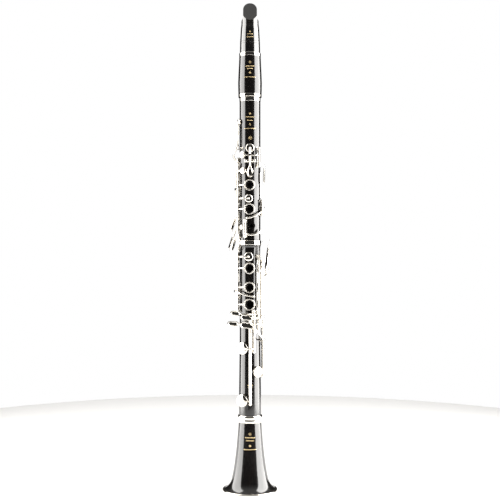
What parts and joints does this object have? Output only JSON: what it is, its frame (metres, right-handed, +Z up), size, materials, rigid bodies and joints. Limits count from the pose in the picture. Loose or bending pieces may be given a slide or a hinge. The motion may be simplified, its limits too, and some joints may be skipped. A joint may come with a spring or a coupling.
{
  "type": "clarinet",
  "caption": "Straight black wood clarinet with a beaked mouthpiece, silver rings, sprung keys and finger rings, standing on its flared bell.",
  "frame": {"origin": "on the bore's axis, in the plane of the bell's rim that it stands on", "axes": "+Z up the bore to the mouthpiece; the finger holes and touches face -Y; +X is the player's left hand"},
  "size_m": [0.08, 0.08, 0.708],
  "materials": {
    "grenadilla": "polished and oiled, nearly black",
    "ebonite": "polished hard rubber",
    "silver_plate": "polished silver plate",
    "steel": "blued and turned steel",
    "cork": "sanded natural cork",
    "pad_skin": "thin pale skin over felt"
  },
  "bodies": {
    "root": {"bell": "grenadilla", "bell_rim_ring": "silver_plate", "bell_ring": "silver_plate", "hinge_rods": "steel", "lower_joint": "grenadilla", "lower_posts": "silver_plate", "middle_ring": "silver_plate", "needle_springs": "steel", "register_tube": "silver_plate", "tenon_corks": "cork", "thumb_rest": "silver_plate", "thumb_rest_screws": "steel", "thumb_tube": "silver_plate", "upper_joint": "grenadilla", "upper_joint_ring": "silver_plate", "upper_posts": "silver_plate"},
    "barrel": {"barrel": "grenadilla", "barrel_rings": "silver_plate", "mouthpiece": "ebonite", "mouthpiece_cork": "cork"},
    "a_key": {"a_key": "silver_plate", "a_pad": "pad_skin", "a_key_screw": "steel"},
    "g_sharp_key": {"g_sharp_key": "silver_plate", "g_sharp_pad": "pad_skin"},
    "register_key": {"register_key": "silver_plate", "register_pad": "pad_skin"},
    "thumb_ring_key": {"thumb_ring_key": "silver_plate", "thumb_ring_pad": "pad_skin"},
    "first_ring_key": {"first_ring_key": "silver_plate", "first_ring_pad": "pad_skin"},
    "second_ring_key": {"second_ring_key": "silver_plate", "second_ring_pad": "pad_skin"},
    "left_sliver_key": {"left_sliver_key": "silver_plate", "left_sliver_pad": "pad_skin"},
    "c_sharp_key": {"c_sharp_key": "silver_plate", "c_sharp_pad": "pad_skin"},
    "right_ring_key": {"right_ring_key": "silver_plate", "right_ring_pad": "pad_skin"},
    "right_sliver_key": {"right_sliver_key": "silver_plate", "right_sliver_pad": "pad_skin"},
    "e_b_key": {"e_b_key": "silver_plate", "e_b_pad": "pad_skin"},
    "f_c_key": {"f_c_key": "silver_plate", "f_c_pad": "pad_skin"},
    "a_flat_key": {"a_flat_key": "silver_plate", "a_flat_pad": "pad_skin"},
    "f_sharp_key": {"f_sharp_key": "silver_plate", "f_sharp_pad": "pad_skin"},
    "left_f_c_lever": {"left_f_c_lever": "silver_plate"},
    "left_e_b_lever": {"left_e_b_lever": "silver_plate"},
    "left_f_sharp_lever": {"left_f_sharp_lever": "silver_plate"},
    "side_key_1": {"side_key_1": "silver_plate", "side_pad_1": "pad_skin"},
    "side_key_2": {"side_key_2": "silver_plate", "side_pad_2": "pad_skin"},
    "side_key_3": {"side_key_3": "silver_plate", "side_pad_3": "pad_skin"},
    "side_key_4": {"side_key_4": "silver_plate", "side_pad_4": "pad_skin"}
  },
  "joints": [
    {"name": "a_key_hinge", "type": "hinge", "parent": "root", "child": "a_key", "pos_m": [0, -0.0191, 0.4755], "axis": [1, 0, 0], "range_deg": [0, 7], "stiffness_Nm_per_rad": 0.01, "springref_deg": -34.38},
    {"name": "g_sharp_key_hinge", "type": "hinge", "parent": "root", "child": "g_sharp_key", "pos_m": [0.01238, -0.01375, 0.4815], "axis": [0, 0, 1], "range_deg": [0, 7], "stiffness_Nm_per_rad": 0.01, "springref_deg": -34.38},
    {"name": "register_key_hinge", "type": "hinge", "parent": "root", "child": "register_key", "pos_m": [-0.01799, -0.00727, 0.495], "axis": [0.3746, -0.9272, 0], "range_deg": [0, 2.8], "stiffness_Nm_per_rad": 0.01, "springref_deg": -34.38},
    {"name": "thumb_ring_key_hinge", "type": "hinge", "parent": "root", "child": "thumb_ring_key", "pos_m": [0.01417, 0.01189, 0.443], "axis": [0, 0, 1], "range_deg": [0, 4.5], "stiffness_Nm_per_rad": 0.01, "springref_deg": -34.38},
    {"name": "first_ring_key_hinge", "type": "hinge", "parent": "root", "child": "first_ring_key", "pos_m": [-0.01703, -0.00723, 0.45358], "axis": [0, 0, 1], "range_deg": [0, 4.5], "stiffness_Nm_per_rad": 0.01, "springref_deg": -34.38},
    {"name": "second_ring_key_hinge", "type": "hinge", "parent": "root", "child": "second_ring_key", "pos_m": [-0.01703, -0.00723, 0.40142], "axis": [0, 0, 1], "range_deg": [0, 4.5], "stiffness_Nm_per_rad": 0.01, "springref_deg": -34.38},
    {"name": "left_sliver_key_hinge", "type": "hinge", "parent": "root", "child": "left_sliver_key", "pos_m": [0.0169, -0.00752, 0.409], "axis": [0, 0, -1], "range_deg": [0, 7], "stiffness_Nm_per_rad": 0.01, "springref_deg": -34.38},
    {"name": "c_sharp_key_hinge", "type": "hinge", "parent": "root", "child": "c_sharp_key", "pos_m": [-0.00752, -0.0169, 0.379], "axis": [0, 0, 1], "range_deg": [0, 9], "stiffness_Nm_per_rad": 0.01, "springref_deg": -34.38},
    {"name": "right_ring_key_hinge", "type": "hinge", "parent": "root", "child": "right_ring_key", "pos_m": [-0.01703, -0.00723, 0.3065], "axis": [0, 0, 1], "range_deg": [0, 4.5], "stiffness_Nm_per_rad": 0.01, "springref_deg": -34.38},
    {"name": "right_sliver_key_hinge", "type": "hinge", "parent": "root", "child": "right_sliver_key", "pos_m": [-0.0185, 0, 0.289], "axis": [0, 0, 1], "range_deg": [0, 7], "stiffness_Nm_per_rad": 0.01, "springref_deg": -34.38},
    {"name": "e_b_key_hinge", "type": "hinge", "parent": "root", "child": "e_b_key", "pos_m": [0.00032, -0.0185, 0.18725], "axis": [0, 0, -1], "range_deg": [0, 6.5], "stiffness_Nm_per_rad": 0.01, "springref_deg": -34.38},
    {"name": "f_c_key_hinge", "type": "hinge", "parent": "root", "child": "f_c_key", "pos_m": [0.00556, -0.01764, 0.23125], "axis": [0, 0, -1], "range_deg": [0, 5.5], "stiffness_Nm_per_rad": 0.01, "springref_deg": -34.38},
    {"name": "a_flat_key_hinge", "type": "hinge", "parent": "root", "child": "a_flat_key", "pos_m": [0.01189, -0.01417, 0.24475], "axis": [0, 0, -1], "range_deg": [0, 7], "stiffness_Nm_per_rad": 0.01, "springref_deg": -34.38},
    {"name": "f_sharp_key_hinge", "type": "hinge", "parent": "root", "child": "f_sharp_key", "pos_m": [0.0181, -0.00385, 0.195], "axis": [0, 0, -1], "range_deg": [0, 5], "stiffness_Nm_per_rad": 0.01, "springref_deg": -34.38},
    {"name": "left_f_c_lever_hinge", "type": "hinge", "parent": "root", "child": "left_f_c_lever", "pos_m": [0.01189, -0.01417, 0.2994], "axis": [0, 0, 1], "range_deg": [0, 5.5], "stiffness_Nm_per_rad": 0.01, "springref_deg": -34.38},
    {"name": "left_e_b_lever_hinge", "type": "hinge", "parent": "root", "child": "left_e_b_lever", "pos_m": [0.01633, -0.00869, 0.292], "axis": [0, 0, 1], "range_deg": [0, 4.6], "stiffness_Nm_per_rad": 0.01, "springref_deg": -34.38},
    {"name": "left_f_sharp_lever_hinge", "type": "hinge", "parent": "root", "child": "left_f_sharp_lever", "pos_m": [0.0181, 0.00385, 0.2715], "axis": [0, 0, 1], "range_deg": [0, 5], "stiffness_Nm_per_rad": 0.01, "springref_deg": -34.38},
    {"name": "side_key_1_hinge", "type": "hinge", "parent": "root", "child": "side_key_1", "pos_m": [-0.01985, -0.00007, 0.436], "axis": [-0.0698, -0.9976, 0], "range_deg": [0, 2.6], "stiffness_Nm_per_rad": 0.01, "springref_deg": -34.38},
    {"name": "side_key_2_hinge", "type": "hinge", "parent": "root", "child": "side_key_2", "pos_m": [-0.01965, 0.00283, 0.436], "axis": [-0.0698, -0.9976, 0], "range_deg": [0, 4.2], "stiffness_Nm_per_rad": 0.01, "springref_deg": -34.38},
    {"name": "side_key_3_hinge", "type": "hinge", "parent": "root", "child": "side_key_3", "pos_m": [-0.0163, 0.01133, 0.436], "axis": [-0.6293, -0.7771, 0], "range_deg": [0, 2.7], "stiffness_Nm_per_rad": 0.01, "springref_deg": -34.38},
    {"name": "side_key_4_hinge", "type": "hinge", "parent": "root", "child": "side_key_4", "pos_m": [-0.01448, 0.01359, 0.436], "axis": [-0.6293, -0.7771, 0], "range_deg": [0, 4.4], "stiffness_Nm_per_rad": 0.01, "springref_deg": -34.38},
    {"name": "tuning_slide", "type": "slide", "parent": "root", "child": "barrel", "axis": [0, 0, 1], "range_m": [0, 0.002]}
  ],
  "couplings": [
    {"joint": "second_ring_key_hinge", "follows": "right_ring_key_hinge", "ratio": 1},
    {"joint": "left_f_c_lever_hinge", "follows": "f_c_key_hinge", "ratio": 1},
    {"joint": "left_e_b_lever_hinge", "follows": "e_b_key_hinge", "ratio": 0.70698},
    {"joint": "left_f_sharp_lever_hinge", "follows": "f_sharp_key_hinge", "ratio": 1}
  ]
}
